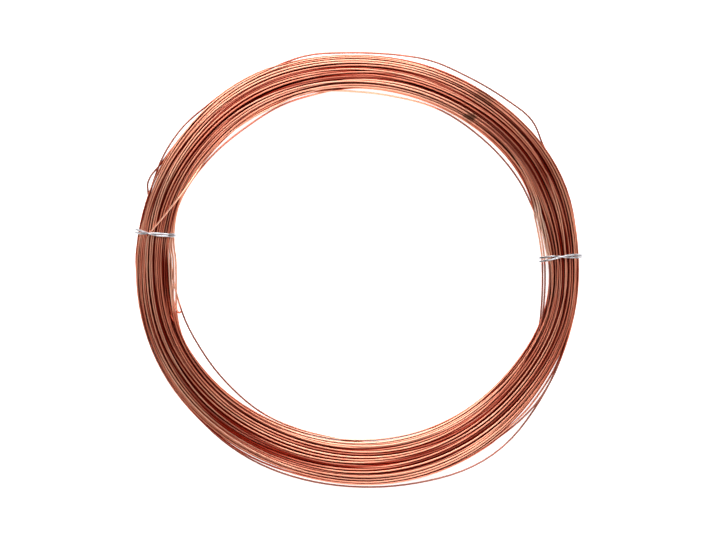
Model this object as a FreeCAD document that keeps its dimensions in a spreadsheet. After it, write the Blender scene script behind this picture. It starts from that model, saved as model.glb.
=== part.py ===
import FreeCAD, Part
import math
import os

import Sketcher

# A loose coil of bare copper wire, tied at two places with thin galvanised wire.
# The coil lies flat on the plane Z = 0, and its bore's axis is the Z axis.
# The bundle of turns is one turned solid, with a groove between each two neighbouring turns.
# Each tie is a wire wound twice round the bundle. It pinches the bundle to a waist, in a
# channel that is deepest at the base, so that the tie does not reach the floor.

OUTPUT_FOLDER = "parts"

# Driving dimensions: alias, value in millimetres or degrees, and what it is.
DIMENSIONS = (
    ("wire_gauge", 0.8, "diameter of the copper wire"),
    ("turn_gap", 0.3, "gap between two neighbouring turns on the bundle's outside"),
    ("groove_depth", 0.3, "depth of the groove between two neighbouring turns"),
    ("bore_radius", 79.8, "inner radius of the bundle"),
    ("bundle_width", 15.4, "radial width of the bundle"),
    ("bundle_height", 8.0, "height of the bundle"),
    ("corner_radius", 3.0, "rounding of the bundle's section"),
    ("tie_gauge", 0.85, "diameter of the tie wire"),
    ("tie_clearance", 0.1, "gap between a tie and the bundle"),
    ("tie_bite", 0.4, "how far a tie pinches the bundle in at its top and its sides"),
    ("tie_bend", 2.0, "bend radius of a tie's inner side at the bundle's corners"),
    ("tie_floor_gap", 0.05, "height of a tie's lowest point above the floor"),
    ("tie_cross_angle", 6.6, "angle at which a tie's two loops cross"),
    ("left_tie_angle", 170.0, "place of the left tie, from +X towards +Y"),
    ("right_tie_angle", 3.7, "place of the right tie, from +X towards +Y"),
)

# How far a cutting profile reaches past the surface that it cuts, so that no face is left coplanar.
CUT_OVERSHOOT = 0.5

QUARTER_TURN = 90
FULL_TURN = 360

document = FreeCAD.newDocument("copper_wire_coil")


def make_sheet():
    """The spreadsheet of driving dimensions, one per row: name, value and meaning."""
    sheet = document.addObject("Spreadsheet::Sheet", "sizes")
    for row, (alias, value, meaning) in enumerate(DIMENSIONS, start=1):
        sheet.set(f"A{row}", alias)
        sheet.set(f"B{row}", str(value))
        sheet.set(f"C{row}", meaning)
        sheet.setAlias(f"B{row}", alias)
    document.recompute()
    return sheet


sizes = make_sheet()

# Sizes that follow from the driving ones, as expressions over the sheet.
FLOOR = "0"
TURN_PITCH = "(sizes.wire_gauge + sizes.turn_gap)"
OUTER_RADIUS = "(sizes.bore_radius + sizes.bundle_width)"
MIDDLE_RADIUS = "(sizes.bore_radius + sizes.bundle_width / 2)"
WAIST_INSIDE = "(sizes.bore_radius + sizes.tie_bite)"
WAIST_OUTSIDE = f"({OUTER_RADIUS} - sizes.tie_bite)"
WAIST_BOTTOM = "(sizes.tie_floor_gap + sizes.tie_gauge + sizes.tie_clearance)"
WAIST_TOP = "(sizes.bundle_height - sizes.tie_bite)"
WAIST_CORNER = "(sizes.tie_bend - sizes.tie_clearance)"
TIE_OFFSET = "(sizes.tie_clearance + sizes.tie_gauge / 2)"
TIE_HALF_WIDTH = f"(sizes.bundle_width / 2 - sizes.tie_bite + {TIE_OFFSET})"
TIE_BOTTOM = f"({WAIST_BOTTOM} - {TIE_OFFSET})"
TIE_TOP = f"({WAIST_TOP} + {TIE_OFFSET})"
TIE_CORNER = "(sizes.tie_bend + sizes.tie_gauge / 2)"
CHANNEL_WIDTH = (
    f"(2 * {TIE_HALF_WIDTH} * sin(sizes.tie_cross_angle * 1 deg / 2)"
    " + sizes.tie_gauge + 2 * sizes.tie_clearance)"
)


def measure(expression):
    """The present value of an expression over the sheet."""
    return float(sizes.evalExpression(expression))


def origin_feature(body, role):
    """One of the body's own origin planes or axes."""
    return next(feature for feature in body.Origin.OriginFeatures if feature.Role == role)


def new_body(label):
    body = document.addObject("PartDesign::Body", label)
    body.Label = label
    return body


def new_sketch(body, name, role, shift=("0", "0", "0"), turn_axis=(0, 0, 1), turn="0"):
    """A sketch on one of the body's origin planes, shifted and turned in the plane's own frame."""
    sketch = body.newObject("Sketcher::SketchObject", name)
    sketch.AttachmentSupport = [(origin_feature(body, role), "")]
    sketch.MapMode = "FlatFace"
    start = FreeCAD.Vector(*[measure(length) for length in shift])
    rotation = FreeCAD.Rotation(FreeCAD.Vector(*turn_axis), measure(turn))
    sketch.AttachmentOffset = FreeCAD.Placement(start, rotation)
    for axis_name, length in zip("xyz", shift):
        if length != "0":
            sketch.setExpression(f"AttachmentOffset.Base.{axis_name}", length)
    if turn != "0":
        sketch.setExpression("AttachmentOffset.Rotation.Angle", f"({turn}) * 1 deg")
    return sketch


def bind(sketch, constraint, expression):
    """Adds a dimension to the sketch and ties it to an expression."""
    index = sketch.addConstraint(constraint)
    sketch.setExpression(f"Constraints[{index}]", expression)


def bind_point(sketch, line, corner, x_expression, y_expression):
    """Fixes a point of a line by its two distances from the sketch's origin."""
    x_value, y_value = measure(x_expression), measure(y_expression)
    bind(sketch, Sketcher.Constraint("DistanceX", -1, 1, line, corner, x_value), x_expression)
    bind(sketch, Sketcher.Constraint("DistanceY", -1, 1, line, corner, y_value), y_expression)


def draw_polygon(sketch, corners):
    """A closed outline of straight lines through corners, each a pair of expressions."""
    points = [FreeCAD.Vector(measure(x), measure(y), 0) for x, y in corners]
    lines = [
        sketch.addGeometry(Part.LineSegment(point, points[(i + 1) % len(points)]), False)
        for i, point in enumerate(points)
    ]
    for i, line in enumerate(lines):
        following = lines[(i + 1) % len(lines)]
        sketch.addConstraint(Sketcher.Constraint("Coincident", line, 2, following, 1))
    for line, (x_expression, y_expression) in zip(lines, corners):
        bind_point(sketch, line, 1, x_expression, y_expression)


def corner_arc(centre_x, centre_y, radius, first_degrees):
    """A quarter circle that starts at first_degrees and runs anticlockwise."""
    circle = Part.Circle(FreeCAD.Vector(centre_x, centre_y, 0), FreeCAD.Vector(0, 0, 1), radius)
    first = math.radians(first_degrees)
    return Part.ArcOfCircle(circle, first, first + math.radians(QUARTER_TURN))


def draw_rounded_rectangle(sketch, left, right, bottom, top, radius):
    """A rectangle with round corners; every argument is an expression. The edges run anticlockwise."""
    x0, x1, y0, y1, r = [measure(value) for value in (left, right, bottom, top, radius)]
    vector = FreeCAD.Vector
    edges = [
        sketch.addGeometry(edge, False)
        for edge in (
            Part.LineSegment(vector(x0 + r, y0, 0), vector(x1 - r, y0, 0)),
            corner_arc(x1 - r, y0 + r, r, -QUARTER_TURN),
            Part.LineSegment(vector(x1, y0 + r, 0), vector(x1, y1 - r, 0)),
            corner_arc(x1 - r, y1 - r, r, 0),
            Part.LineSegment(vector(x1 - r, y1, 0), vector(x0 + r, y1, 0)),
            corner_arc(x0 + r, y1 - r, r, QUARTER_TURN),
            Part.LineSegment(vector(x0, y1 - r, 0), vector(x0, y0 + r, 0)),
            corner_arc(x0 + r, y0 + r, r, 2 * QUARTER_TURN),
        )
    ]
    base, _, right_side, _, roof, _, left_side, _ = edges
    for i, edge in enumerate(edges):
        following = edges[(i + 1) % len(edges)]
        sketch.addConstraint(Sketcher.Constraint("Tangent", edge, 2, following, 1))
    arcs = edges[1::2]
    for arc in arcs[1:]:
        sketch.addConstraint(Sketcher.Constraint("Equal", arcs[0], arc))
    for line in (base, roof):
        sketch.addConstraint(Sketcher.Constraint("Horizontal", line))
    for line in (right_side, left_side):
        sketch.addConstraint(Sketcher.Constraint("Vertical", line))
    bind(sketch, Sketcher.Constraint("Radius", arcs[0], r), radius)
    bind(sketch, Sketcher.Constraint("DistanceX", -1, 1, left_side, 1, x0), left)
    bind(sketch, Sketcher.Constraint("DistanceX", -1, 1, right_side, 1, x1), right)
    bind(sketch, Sketcher.Constraint("DistanceY", -1, 1, base, 1, y0), bottom)
    bind(sketch, Sketcher.Constraint("DistanceY", -1, 1, roof, 1, y1), top)


def spread(start, end, count):
    """Expressions of count places between two expressions, half a step in from each end."""
    return [f"({start} + ({end} - {start}) * {2 * i + 1} / {2 * count})" for i in range(count)]


def draw_turn_groove(sketch, centre_x, centre_y, direction):
    """A V whose point lies groove_depth under the bundle's surface.

    The surface is one corner radius away from the centre, in the given direction in degrees.
    """
    depth = "sizes.groove_depth"
    mouth = f"(sizes.turn_gap * ({depth} + {CUT_OVERSHOOT}) / {depth})"
    tip = f"(sizes.corner_radius - {depth})"
    outside = f"(sizes.corner_radius + {CUT_OVERSHOOT})"
    along_x, along_y = f"cos({direction} * 1 deg)", f"sin({direction} * 1 deg)"
    corners = [
        (
            f"{centre_x} + {reach} * {along_x} - {aside} * {along_y}",
            f"{centre_y} + {reach} * {along_y} + {aside} * {along_x}",
        )
        for reach, aside in ((tip, "0"), (outside, f"-{mouth}"), (outside, mouth))
    ]
    draw_polygon(sketch, corners)


def draw_turn_grooves(sketch):
    """The grooves between neighbouring turns, on the bundle's four faces and round its four corners."""
    inner_centre = "(sizes.bore_radius + sizes.corner_radius)"
    outer_centre = f"({OUTER_RADIUS} - sizes.corner_radius)"
    low_centre = "sizes.corner_radius"
    high_centre = "(sizes.bundle_height - sizes.corner_radius)"
    pitch = measure(TURN_PITCH)
    corner_length = math.radians(QUARTER_TURN) * measure("sizes.corner_radius")
    across = max(1, round(measure(f"{outer_centre} - {inner_centre}") / pitch))
    upward = max(1, round(measure(f"{high_centre} - {low_centre}") / pitch))
    round_corner = max(1, round(corner_length / pitch))

    for radius in spread(inner_centre, outer_centre, across):
        draw_turn_groove(sketch, radius, high_centre, "90")
        draw_turn_groove(sketch, radius, low_centre, "270")
    for height in spread(low_centre, high_centre, upward):
        draw_turn_groove(sketch, outer_centre, height, "0")
        draw_turn_groove(sketch, inner_centre, height, "180")
    corner_centres = (
        (outer_centre, high_centre, 0),
        (inner_centre, high_centre, 90),
        (inner_centre, low_centre, 180),
        (outer_centre, low_centre, 270),
    )
    for centre_x, centre_y, first in corner_centres:
        for direction in spread(f"{first}", f"{first + QUARTER_TURN}", round_corner):
            draw_turn_groove(sketch, centre_x, centre_y, direction)


def recompute_and_measure(body):
    """Recomputes the document and returns the body's volume."""
    document.recompute()
    return body.Shape.Volume


def make_coil(tie_angles):
    """The bundle of copper turns: a turned section, its turn grooves and a channel for each tie."""
    body = new_body("copper_wire_coil")
    section = new_sketch(body, "bundle_section", "XZ_Plane")
    draw_rounded_rectangle(
        section, "sizes.bore_radius", OUTER_RADIUS, FLOOR, "sizes.bundle_height",
        "sizes.corner_radius",
    )
    turned = body.newObject("PartDesign::Revolution", "bundle")
    turned.Profile = section
    turned.ReferenceAxis = (section, ["V_Axis"])
    turned.Angle = FULL_TURN
    volume = recompute_and_measure(body)

    groove_sketch = new_sketch(body, "turn_groove_profiles", "XZ_Plane")
    draw_turn_grooves(groove_sketch)
    grooves = body.newObject("PartDesign::Groove", "turn_grooves")
    grooves.Profile = groove_sketch
    grooves.ReferenceAxis = (groove_sketch, ["V_Axis"])
    grooves.Angle = FULL_TURN
    volume = check_cut(grooves, volume, recompute_and_measure(body))

    for side, angle in tie_angles:
        waist = new_sketch(body, f"{side}_waist", "XZ_Plane", turn_axis=(0, 1, 0), turn=angle)
        draw_waist(waist)
        channel = body.newObject("PartDesign::Pocket", f"{side}_tie_channel")
        channel.Profile = waist
        channel.Midplane = True
        channel.setExpression("Length", CHANNEL_WIDTH)
        volume = check_cut(channel, volume, recompute_and_measure(body))
    return body


def draw_waist(sketch):
    """What a tie's channel takes away: all that lies round the bundle's waist, where the tie pinches it."""
    low, high = f"-{CUT_OVERSHOOT}", f"(sizes.bundle_height + {CUT_OVERSHOOT})"
    inside = f"(sizes.bore_radius - {CUT_OVERSHOOT})"
    outside = f"({OUTER_RADIUS} + {CUT_OVERSHOOT})"
    draw_polygon(sketch, ((inside, low), (outside, low), (outside, high), (inside, high)))
    draw_rounded_rectangle(
        sketch, WAIST_INSIDE, WAIST_OUTSIDE, WAIST_BOTTOM, WAIST_TOP, WAIST_CORNER
    )


def make_tie(label, angle):
    """One tie: two closed loops of wire round the bundle, crossing above and below it."""
    body = new_body(label)
    body.Placement = FreeCAD.Placement(
        FreeCAD.Vector(0, 0, 0), FreeCAD.Rotation(FreeCAD.Vector(0, 0, 1), measure(angle))
    )
    body.setExpression(".Placement.Rotation.Angle", f"({angle}) * 1 deg")
    profile_height = f"({TIE_BOTTOM} + {TIE_CORNER})"
    volume = 0.0
    half_angle = "sizes.tie_cross_angle / 2"
    for name, lean in (("first", half_angle), ("second", f"-{half_angle}")):
        path = new_sketch(
            body, f"{name}_loop_path", "XZ_Plane", shift=(MIDDLE_RADIUS, "0", "0"),
            turn_axis=(0, 1, 0), turn=lean,
        )
        draw_rounded_rectangle(
            path, f"-{TIE_HALF_WIDTH}", TIE_HALF_WIDTH, TIE_BOTTOM, TIE_TOP, TIE_CORNER
        )
        section = new_sketch(
            body, f"{name}_loop_section", "XY_Plane", shift=(MIDDLE_RADIUS, "0", profile_height),
            turn=lean,
        )
        circle = section.addGeometry(
            Part.Circle(
                FreeCAD.Vector(measure(TIE_HALF_WIDTH), 0, 0),
                FreeCAD.Vector(0, 0, 1),
                measure("sizes.tie_gauge / 2"),
            ),
            False,
        )
        bind(
            section,
            Sketcher.Constraint("Radius", circle, measure("sizes.tie_gauge / 2")),
            "sizes.tie_gauge / 2",
        )
        section.addConstraint(Sketcher.Constraint("PointOnObject", circle, 3, -1))
        bind(
            section,
            Sketcher.Constraint("DistanceX", -1, 1, circle, 3, measure(TIE_HALF_WIDTH)),
            TIE_HALF_WIDTH,
        )
        document.recompute()
        loop = body.newObject("PartDesign::AdditivePipe", f"{name}_loop")
        loop.Profile = section
        loop.Spine = (path, [f"Edge{i + 1}" for i in range(len(path.Shape.Edges))])
        new_volume = recompute_and_measure(body)
        if new_volume <= volume:
            raise RuntimeError(f"{label}: {loop.Label} added nothing")
        volume = new_volume
    return body


def check_cut(feature, before, after):
    """The volume after a cut, which has to be smaller than before it."""
    if not 0 < after < before:
        raise RuntimeError(f"{feature.Label} cut nothing: {before:.2f} to {after:.2f} cubic mm")
    return after


def check_document(bodies):
    """Stops if any object of the document failed, or a piece is not one valid solid."""
    for item in document.Objects:
        if "Invalid" in item.State or "Error" in item.State:
            raise RuntimeError(f"{item.Label} failed: {item.State}")
    for body in bodies:
        shape = body.Shape
        if shape.isNull() or not shape.isValid() or len(shape.Solids) != 1:
            raise RuntimeError(f"{body.Label} is not one valid solid")


bodies = [
    make_coil((("left", "sizes.left_tie_angle"), ("right", "sizes.right_tie_angle"))),
    make_tie("tie_wire_left", "sizes.left_tie_angle"),
    make_tie("tie_wire_right", "sizes.right_tie_angle"),
]
document.recompute()
check_document(bodies)

os.makedirs(OUTPUT_FOLDER, exist_ok=True)
for body in bodies:
    body.Shape.exportStep(f"{OUTPUT_FOLDER}/{body.Label}.step")
    box = body.Shape.optimalBoundingBox(False)
    print(
        f"{body.Label}: {body.Shape.Volume:.2f} cubic mm,"
        f" X {box.XMin:.2f} to {box.XMax:.2f},"
        f" Y {box.YMin:.2f} to {box.YMax:.2f},"
        f" Z {box.ZMin:.2f} to {box.ZMax:.2f}"
    )
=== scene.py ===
import math

import bpy
import numpy as np
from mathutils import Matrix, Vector


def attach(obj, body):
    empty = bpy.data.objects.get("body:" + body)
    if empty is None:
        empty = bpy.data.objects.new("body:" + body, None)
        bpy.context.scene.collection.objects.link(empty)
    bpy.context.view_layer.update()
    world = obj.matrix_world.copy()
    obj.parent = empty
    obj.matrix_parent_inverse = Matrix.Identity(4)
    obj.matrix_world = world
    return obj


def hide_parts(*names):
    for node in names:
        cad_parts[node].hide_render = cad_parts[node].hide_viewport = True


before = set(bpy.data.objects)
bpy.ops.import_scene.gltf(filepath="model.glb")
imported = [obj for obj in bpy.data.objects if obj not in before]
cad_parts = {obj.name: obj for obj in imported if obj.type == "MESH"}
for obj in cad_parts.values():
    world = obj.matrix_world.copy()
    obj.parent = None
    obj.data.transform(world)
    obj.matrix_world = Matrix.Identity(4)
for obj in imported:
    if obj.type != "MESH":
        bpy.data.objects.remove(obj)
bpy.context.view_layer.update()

# Lengths are in millimetres and angles in degrees until the meshes are made in metres.
# Angles run from +X towards +Y round the coil's axis.
METRES = 0.001
TINY = 1e-9  # keeps a division or a rounding safe

# ---------------------------------------------------------------- the copper wire
WIRE_GAUGE = 0.8
WIRE_RADIUS = WIRE_GAUGE / 2
WIRE_SIDES = 8
END_DOME = 0.35  # height of a wire's domed end, as a share of its radius
MAP_MARGIN = 0.08  # of a map's row, left free at each of its sides
ANY_DIRECTION = (0.3, 0.8, 0.5)  # not along either tie's first stretch
TURNS = 100
STATIONS = 60  # control points a turn
STATION_STEP = 360 / STATIONS
FIRST_ANGLE = 193.5  # where the wire's inner end is
SPANS = 2  # points that the spline is read at for each of its control points

# ---------------------------------------------------------------- the bundle of turns
# Inner and outer radius of the bundle, every 15 degrees from 0.
EDGE_STEP = 15
BUNDLE_EDGES = (
    (83.2, 95.3), (80.2, 97.1), (81.4, 97.3), (79.8, 95.7), (78.5, 94.0), (78.0, 93.4),
    (78.4, 92.7), (78.7, 94.3), (80.0, 96.6), (80.5, 96.8), (81.1, 96.8), (82.9, 96.7),
    (80.2, 95.9), (81.8, 96.0), (78.9, 95.9), (76.9, 94.7), (74.2, 92.9), (73.3, 92.3),
    (73.2, 93.3), (73.9, 94.2), (75.4, 94.6), (76.9, 94.5), (78.7, 94.5), (82.3, 96.2),
)
BUNDLE_AREA = 118.0  # of the section, in square millimetres: where the bundle is wider, it is lower
BUNDLE_SQUARENESS = 2.6  # exponent of the section's outline: 2 is an ellipse
MOST_HEIGHT = 7.9

# ---------------------------------------------------------------- the ties
TIE_GAUGE = 0.85
TIE_RADIUS = TIE_GAUGE / 2
TIE_FLOOR_GAP = 0.06
TIE_SIDES = 12
TIE_MAP_ROWS = 4
TIE_WIRES_WITHIN = 1.6  # of a tie's middle plane: the wires that it is drawn round
TIE_OUTLINE_STEP = 2.0  # degrees
TIE_OUTLINE_POINTS = 241
TIE_POINT_SPACING = 0.3
TIE_SMOOTHINGS = 4
CROSSING_STEEPNESS = 1.8
OVER_STRAND = 1.02  # how far the upper strand's middle is above the lower one's, in tie gauges
WAIST_REACH = 9.0  # degrees over which the bundle narrows towards a tie
# Angle of the tie, inner and outer radius of the bundle there, its height, the tie's lean
# away from the bundle's radius, how far it bows to that side on top, where its strands cross as a
# share of the way in from its outer end, how far each lies to the side at the two ends, and its
# slack there.
TIES = {
    "tie_wire_left": dict(
        angle=169.7, inner=82.1, outer=96.2, height=6.0, lean=4.0, bow=0.45, crossing=0.36,
        outer_lane=0.68, inner_lane=0.44, outer_slack=1.55, inner_slack=0.0,
    ),
    "tie_wire_right": dict(
        angle=3.4, inner=82.7, outer=94.9, height=6.9, lean=1.5, bow=0.5, crossing=0.5,
        outer_lane=0.5, inner_lane=0.8, outer_slack=1.2, inner_slack=0.5,
    ),
}

# ---------------------------------------------------------------- the loose turns
# Stretches where one turn leaves the bundle: (angle, radius, height) of its middle.
# Past the first and last point the turn eases back to its place in the bundle.
LOOSE_STRETCHES = {
    "kinked_outer_turn": (
        (27.0, 95.5, 4.4), (32.3, 95.9, 4.5), (35.2, 96.7, 4.6), (37.9, 98.1, 4.7),
        (40.2, 99.0, 4.8), (42.4, 99.0, 4.9), (46.5, 98.0, 5.0), (51.6, 97.0, 5.0),
        (56.6, 96.3, 5.0), (61.3, 95.8, 5.0),
        (68.4, 95.7, 5.0), (72.0, 95.5, 4.9), (77.0, 94.7, 4.8), (86.0, 93.8, 4.6),
        (93.0, 93.9, 4.4), (104.0, 95.2, 4.2), (110.0, 95.0, 4.0),
    ),
    "outer_left_turn": (
        (133.0, 96.3, 4.2), (137.0, 97.1, 4.4), (141.0, 97.6, 4.6), (147.6, 97.5, 4.8),
        (151.0, 97.2, 4.9), (154.5, 96.5, 4.8), (158.5, 95.9, 4.3), (163.0, 95.3, 4.2),
        (168.0, 95.1, 4.0),
    ),
    "outer_left_bulge": (
        (149.5, 95.9, 3.6), (151.4, 96.6, 3.6), (153.4, 97.4, 3.5), (155.8, 98.6, 3.4),
        (157.5, 98.6, 3.3), (158.9, 97.5, 3.2), (160.3, 96.0, 3.2), (163.0, 94.9, 3.3),
        (167.0, 94.7, 3.4),
    ),
    "diagonal_top_turn": (
        (138.0, 81.2, 3.4), (144.0, 81.4, 4.4), (150.0, 81.2, 6.6), (156.0, 82.2, 8.3),
        (162.0, 85.0, 8.35), (166.5, 87.9, 7.95), (169.0, 90.2, 7.6), (171.5, 91.5, 7.45),
        (175.5, 91.5, 7.2), (181.0, 91.2, 6.2), (188.0, 90.7, 5.2),
    ),
    "inner_lower_left_turn": (
        (183.4, 80.0, 3.4), (188.0, 79.0, 3.2), (193.0, 78.4, 3.0), (197.0, 77.9, 2.8),
        (202.0, 76.9, 2.6), (207.0, 76.1, 2.5), (213.0, 75.6, 2.4), (219.0, 75.1, 2.4),
        (226.0, 74.7, 2.4), (234.0, 74.7, 2.4), (241.0, 74.2, 2.4), (250.0, 73.5, 2.4),
        (262.0, 73.3, 2.3),
    ),
    "inner_upper_right_turn": (
        (19.0, 80.0, 4.4), (24.0, 80.0, 4.2), (29.0, 79.7, 4.0), (34.5, 79.2, 3.8),
        (40.0, 78.8, 3.6), (47.0, 78.2, 3.5), (53.0, 78.0, 3.5), (60.0, 78.0, 3.5),
        (68.0, 77.5, 3.6), (77.0, 76.6, 3.8), (86.0, 76.8, 3.9), (96.0, 77.5, 4.0),
    ),
    "inner_upper_left_turn": (
        (99.0, 78.0, 3.4), (105.0, 78.2, 3.5), (111.0, 78.5, 3.6), (117.0, 78.6, 3.7),
        (123.0, 78.3, 3.8), (130.0, 78.5, 3.8), (136.0, 79.3, 3.8), (142.0, 80.2, 3.9),
        (148.0, 81.0, 3.8), (154.0, 82.3, 3.6),
    ),
    "inner_upper_left_second_turn": (
        (107.0, 79.9, 4.8), (112.0, 79.5, 4.8), (117.0, 79.1, 4.8), (122.0, 79.7, 4.8),
        (128.0, 80.3, 4.8),
    ),
    "widest_bottom_turn": (
        (223.0, 94.1, 3.0), (232.0, 94.3, 2.6), (241.0, 94.3, 2.2), (250.0, 94.0, 1.9),
        (260.0, 93.8, 1.6), (270.0, 94.1, 1.3), (280.0, 95.1, 1.2), (287.0, 96.1, 1.1),
        (293.0, 97.4, 1.1), (299.0, 98.6, 1.2), (305.0, 99.2, 1.4), (311.5, 99.1, 1.6),
        (317.0, 98.1, 1.9), (324.0, 97.0, 2.4), (330.0, 96.2, 3.0), (337.0, 95.6, 3.6),
    ),
    "second_bottom_turn": (
        (308.0, 94.2, 3.4), (313.0, 94.9, 3.3), (318.0, 95.7, 3.3), (323.0, 96.2, 3.7),
        (328.0, 96.1, 4.2), (334.0, 95.7, 4.6),
    ),
    "third_bottom_turn": (
        (313.0, 94.0, 4.4), (320.0, 94.6, 4.4), (327.0, 94.7, 4.5), (334.0, 95.0, 4.6),
    ),
    "second_lower_left_turn": (
        (222.0, 94.0, 3.8), (230.0, 93.8, 3.6), (238.0, 93.4, 3.4), (246.0, 92.9, 3.2),
    ),
    "innermost_right_turn": (
        (335.0, 82.8, 3.8), (341.0, 82.2, 3.5), (344.6, 81.7, 3.2), (348.0, 81.0, 3.0),
        (352.0, 80.4, 2.9), (357.0, 79.9, 2.9), (363.0, 79.7, 3.2), (371.0, 79.5, 3.6),
        (379.0, 79.8, 4.0),
    ),
    "second_right_turn": (
        (341.0, 83.0, 4.8), (346.0, 82.2, 4.8), (351.0, 81.4, 4.6), (357.0, 80.9, 4.4),
        (363.0, 80.7, 4.5), (371.0, 80.4, 4.8), (379.0, 80.7, 5.2),
    ),
    "third_right_turn": (
        (345.0, 84.2, 5.4), (351.0, 83.1, 5.4), (357.0, 82.8, 5.2), (362.0, 82.4, 5.4),
        (367.0, 81.5, 5.6), (371.0, 81.2, 5.9), (379.0, 81.5, 6.2),
    ),
    "fourth_right_turn": (
        (361.0, 83.5, 6.0), (366.0, 82.4, 6.2), (372.0, 82.2, 6.5), (379.0, 82.4, 6.7),
    ),
    "inner_left_turn": (
        (172.0, 80.6, 3.0), (176.0, 79.1, 2.8), (180.0, 78.7, 2.7), (184.0, 78.8, 2.7),
        (189.0, 79.5, 2.9),
    ),
    "second_inner_left_turn": (
        (172.0, 81.5, 4.4), (176.0, 80.0, 4.2), (181.0, 79.6, 4.0), (187.0, 80.1, 4.0),
    ),
    "fourth_inner_left_turn": (
        (171.5, 82.9, 6.0), (177.0, 81.8, 6.0), (182.0, 81.4, 5.8), (190.0, 81.6, 5.6),
    ),
    "third_inner_left_turn": (
        (172.0, 82.3, 5.4), (176.0, 80.9, 5.2), (181.0, 80.5, 5.0), (187.0, 80.9, 5.0),
    ),
    "outer_left_turn_below_tie": (
        (172.5, 95.4, 3.2), (175.0, 96.1, 3.0), (178.0, 96.0, 2.9), (182.0, 95.5, 3.0),
    ),
    "second_outer_left_turn_below_tie": (
        (172.0, 94.8, 4.4), (176.0, 95.2, 4.2), (183.0, 95.0, 4.2),
    ),
    "third_outer_left_turn_below_tie": (
        (172.0, 94.1, 5.2), (177.0, 94.5, 5.2), (188.0, 94.3, 5.2),
    ),
    "low_outer_left_turn": (
        (144.0, 95.1, 1.2), (152.0, 95.0, 1.2), (160.0, 94.9, 1.3), (166.0, 94.8, 1.7),
        (170.0, 94.8, 1.9), (176.0, 94.8, 1.5), (186.0, 94.8, 1.2),
    ),
    "low_inner_left_turn": (
        (165.0, 83.2, 1.8), (172.0, 82.2, 1.6), (178.0, 81.2, 1.3), (184.0, 81.0, 1.2),
        (192.0, 81.6, 1.2),
    ),
    "upper_left_rim_turn": (
        (149.0, 95.1, 5.4), (157.0, 94.9, 5.5), (163.0, 94.7, 5.2), (168.0, 94.6, 4.9),
    ),
    "far_end": (
        (122.0, 88.0, 2.4), (140.0, 87.0, 2.4), (156.0, 86.0, 2.6), (168.0, 84.8, 3.0),
        (176.0, 82.2, 3.0), (187.5, 81.0, 3.2),
    ),
}
# Past the last station, the wire's far end comes out of the bundle as a small hook.
END_HOOK = (
    (189.4, 80.8, 3.4), (191.2, 80.6, 3.6), (192.5, 80.2, 3.9), (193.3, 79.7, 4.1), (193.6, 79.1, 4.2),
    (193.2, 78.6, 4.2),
)
# How the wire's tone changes along loose stretches: (name, first angle, last angle, tone), where
# tone 0 is the palest copper in the bundle and 1 the darkest; a tone below 0 is painted highlight.
STRETCH_TONES = (
    ("kinked_outer_turn", 33.0, 74.0, 1.8),
    ("kinked_outer_turn", 78.0, 110.0, 1.2),
    ("outer_left_turn", 133.0, 156.0, 2.0),
    ("outer_left_bulge", 149.0, 161.0, 1.8),
    ("widest_bottom_turn", 222.0, 336.0, 1.6),
    ("second_lower_left_turn", 222.0, 246.0, 1.4),
    ("inner_upper_right_turn", 19.0, 62.0, 1.9),
    ("inner_upper_left_turn", 105.0, 140.0, 1.2),
    ("second_bottom_turn", 310.0, 332.0, 1.3),
    ("inner_lower_left_turn", 186.0, 236.0, 1.9),
    ("inner_lower_left_turn", 240.0, 262.0, 0.6),
    ("innermost_right_turn", 337.0, 361.0, 1.8),
    ("second_right_turn", 341.0, 361.0, 1.5),
    ("third_right_turn", 345.0, 361.0, 1.5),
    # Paler than any copper in the bundle: painted highlight on strands that catch the light.
    ("innermost_right_turn", 366.0, 379.0, -0.25),
    ("second_right_turn", 366.0, 379.0, -0.25),
    ("third_right_turn", 366.0, 379.0, -0.25),
    ("fourth_right_turn", 363.0, 379.0, -0.25),
    ("diagonal_top_turn", 150.0, 176.0, -0.15),
    ("inner_left_turn", 172.0, 189.0, -0.25),
    ("second_inner_left_turn", 172.0, 187.0, -0.25),
    ("third_inner_left_turn", 172.0, 187.0, -0.2),
)
TONE_EASE = 5.0
TONE_KNOTS = 5  # a turn: how often the wire's own tone changes
# Painted shade on the coil's two sides, which the softboxes light less: first and last angle, added tone.
PAINTED_SHADE_PATCHES = ((-28.0, 40.0, 0.35), (170.0, 208.0, 0.2))
PAINTED_SHADE_EASE = 24.0
# Painted highlight at the bundle's inner edge, where the wire's colour is paler: first and last
# angle, outermost radius and tone.
PAINTED_HIGHLIGHT_PATCHES = (
    (4.0, 19.0, 82.8, -0.4), (171.0, 190.0, 81.6, -0.2), (238.0, 292.0, 74.8, -0.2),
)
PAINTED_HIGHLIGHT_EASE = 3.0  # degrees
EASE = 16.0  # degrees over which a loose turn eases back into the bundle
KINKED_FROM = 0.19  # points a degree: a stretch with more gets control points between stations
KINK_STEP = 2.0  # degrees between those
KINK_CLEARANCE = 0.9  # degrees that they keep from the stations
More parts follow.
